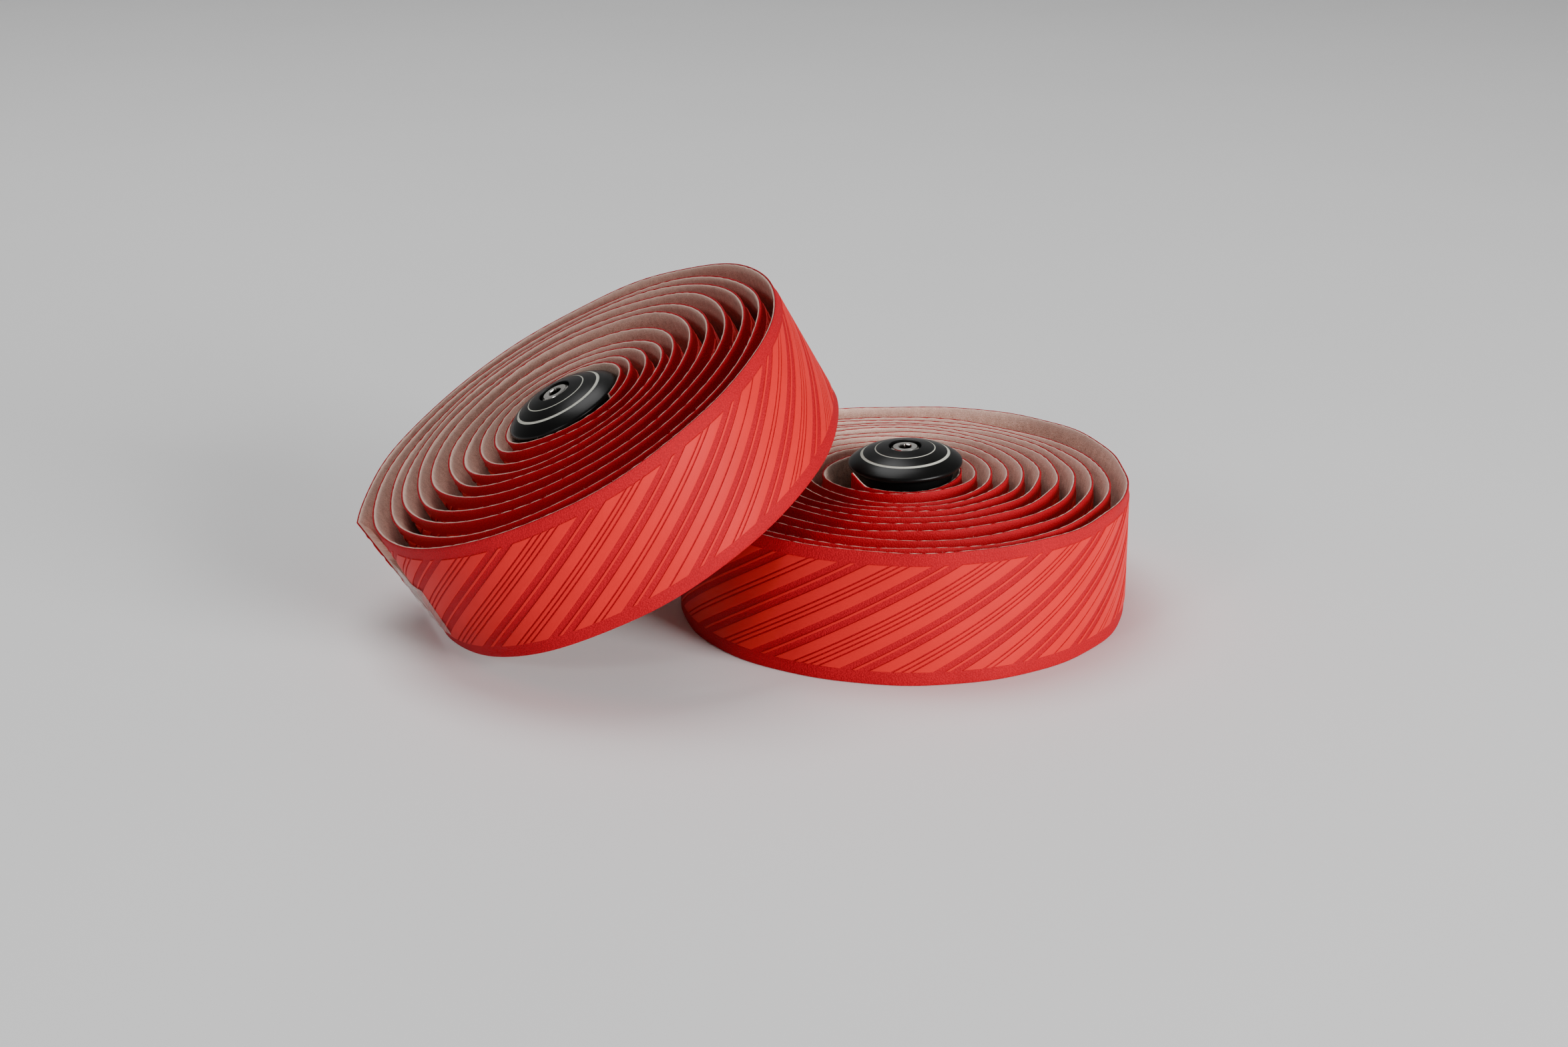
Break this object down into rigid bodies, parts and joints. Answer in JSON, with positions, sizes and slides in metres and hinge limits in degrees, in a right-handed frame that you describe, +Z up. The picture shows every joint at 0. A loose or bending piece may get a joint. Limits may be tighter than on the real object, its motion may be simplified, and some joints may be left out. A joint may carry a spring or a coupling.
{
  "type": "handlebar tape set",
  "caption": "Pair of coiled padded handlebar tapes, one flat and one leaning on it, each with a domed expanding bar-end plug in its core.",
  "frame": {"origin": "centre of the whole set's bounding box, on the floor under it", "axes": "+X along the set's length from the leaning roll to the flat roll, +Y to the back, +Z up"},
  "size_m": [0.1914, 0.1348, 0.085],
  "materials": {
    "tape_face": "matte embossed imitation leather, red",
    "tape_foam": "soft closed-cell foam, pale pink-beige",
    "film": "clear glossy film",
    "plug_cap": "black satin anodised",
    "steel": "stainless, satin",
    "plug_nylon": "black moulded nylon",
    "brass": "machined",
    "ring_rubber": "black rubber"
  },
  "bodies": {
    "flat_roll": {"flat_tape_face": "tape_face", "flat_tape_foam": "tape_foam", "flat_closing_film": "film"},
    "leaning_roll": {"leaning_tape_face": "tape_face", "leaning_tape_foam": "tape_foam", "leaning_closing_film": "film"},
    "flat_plug": {"flat_plug_cap": "plug_cap", "flat_plug_washer": "steel", "flat_plug_ring_1": "ring_rubber", "flat_plug_ring_2": "ring_rubber"},
    "flat_plug_screw": {"flat_plug_screw": "steel"},
    "flat_plug_wedge": {"flat_plug_wedge": "plug_nylon", "flat_plug_insert": "brass"},
    "flat_plug_jaw_1": {"flat_plug_jaw_1": "plug_nylon"},
    "flat_plug_jaw_2": {"flat_plug_jaw_2": "plug_nylon"},
    "flat_plug_jaw_3": {"flat_plug_jaw_3": "plug_nylon"},
    "leaning_plug": {"leaning_plug_cap": "plug_cap", "leaning_plug_washer": "steel", "leaning_plug_ring_1": "ring_rubber", "leaning_plug_ring_2": "ring_rubber"},
    "leaning_plug_screw": {"leaning_plug_screw": "steel"},
    "leaning_plug_wedge": {"leaning_plug_wedge": "plug_nylon", "leaning_plug_insert": "brass"},
    "leaning_plug_jaw_1": {"leaning_plug_jaw_1": "plug_nylon"},
    "leaning_plug_jaw_2": {"leaning_plug_jaw_2": "plug_nylon"},
    "leaning_plug_jaw_3": {"leaning_plug_jaw_3": "plug_nylon"}
  },
  "joints": [
    {"name": "leaning_roll_lift", "type": "slide", "parent": "flat_roll", "child": "leaning_roll", "axis": [0, 0, 1], "range_m": [0, 0.06]},
    {"name": "flat_plug_pull", "type": "slide", "parent": "flat_roll", "child": "flat_plug", "axis": [-0.0319, -0.0479, 0.9983], "range_m": [0, 0.045]},
    {"name": "flat_plug_tighten", "type": "hinge", "parent": "flat_plug", "child": "flat_plug_screw", "pos_m": [0.03971, 0.00724, 0.03474], "axis": [0.0319, 0.0479, -0.9983], "range_deg": [0, 1441]},
    {"name": "flat_plug_wedge_draw", "type": "slide", "parent": "flat_plug", "child": "flat_plug_wedge", "axis": [-0.0319, -0.0479, 0.9983], "range_m": [0, 0.0028]},
    {"name": "flat_plug_jaw_1_spread", "type": "slide", "parent": "flat_plug", "child": "flat_plug_jaw_1", "axis": [0.9995, -0.0015, 0.0319], "range_m": [0, 0.00087], "deforming": ["flat_plug_ring_1", "flat_plug_ring_2"]},
    {"name": "flat_plug_jaw_2_spread", "type": "slide", "parent": "flat_plug", "child": "flat_plug_jaw_2", "axis": [-0.4997, 0.8658, 0.0256], "range_m": [0, 0.00087]},
    {"name": "flat_plug_jaw_3_spread", "type": "slide", "parent": "flat_plug", "child": "flat_plug_jaw_3", "axis": [-0.4997, -0.8643, -0.0575], "range_m": [0, 0.00087]},
    {"name": "leaning_plug_pull", "type": "slide", "parent": "leaning_roll", "child": "leaning_plug", "axis": [-0.4416, -0.1253, 0.8884], "range_m": [0, 0.045]},
    {"name": "leaning_plug_tighten", "type": "hinge", "parent": "leaning_plug", "child": "leaning_plug_screw", "pos_m": [-0.04414, -0.00997, 0.05464], "axis": [0.4416, 0.1253, -0.8884], "range_deg": [0, 1441]},
    {"name": "leaning_plug_wedge_draw", "type": "slide", "parent": "leaning_plug", "child": "leaning_plug_wedge", "axis": [-0.4416, -0.1253, 0.8884], "range_m": [0, 0.0028]},
    {"name": "leaning_plug_jaw_1_spread", "type": "slide", "parent": "leaning_plug", "child": "leaning_plug_jaw_1", "axis": [0.8972, -0.0617, 0.4372], "range_m": [0, 0.00087], "deforming": ["leaning_plug_ring_1", "leaning_plug_ring_2"]},
    {"name": "leaning_plug_jaw_2_spread", "type": "slide", "parent": "leaning_plug", "child": "leaning_plug_jaw_2", "axis": [-0.4486, 0.8884, -0.0977], "range_m": [0, 0.00087]},
    {"name": "leaning_plug_jaw_3_spread", "type": "slide", "parent": "leaning_plug", "child": "leaning_plug_jaw_3", "axis": [-0.4486, -0.8267, -0.3395], "range_m": [0, 0.00087]}
  ],
  "couplings": [
    {"joint": "flat_plug_tighten", "follows": "flat_plug_wedge_draw", "rad_per_m": 8976},
    {"joint": "flat_plug_jaw_1_spread", "follows": "flat_plug_wedge_draw", "ratio": 0.309},
    {"joint": "flat_plug_jaw_2_spread", "follows": "flat_plug_wedge_draw", "ratio": 0.309},
    {"joint": "flat_plug_jaw_3_spread", "follows": "flat_plug_wedge_draw", "ratio": 0.309},
    {"joint": "leaning_plug_tighten", "follows": "leaning_plug_wedge_draw", "rad_per_m": 8976},
    {"joint": "leaning_plug_jaw_1_spread", "follows": "leaning_plug_wedge_draw", "ratio": 0.309},
    {"joint": "leaning_plug_jaw_2_spread", "follows": "leaning_plug_wedge_draw", "ratio": 0.309},
    {"joint": "leaning_plug_jaw_3_spread", "follows": "leaning_plug_wedge_draw", "ratio": 0.309}
  ]
}
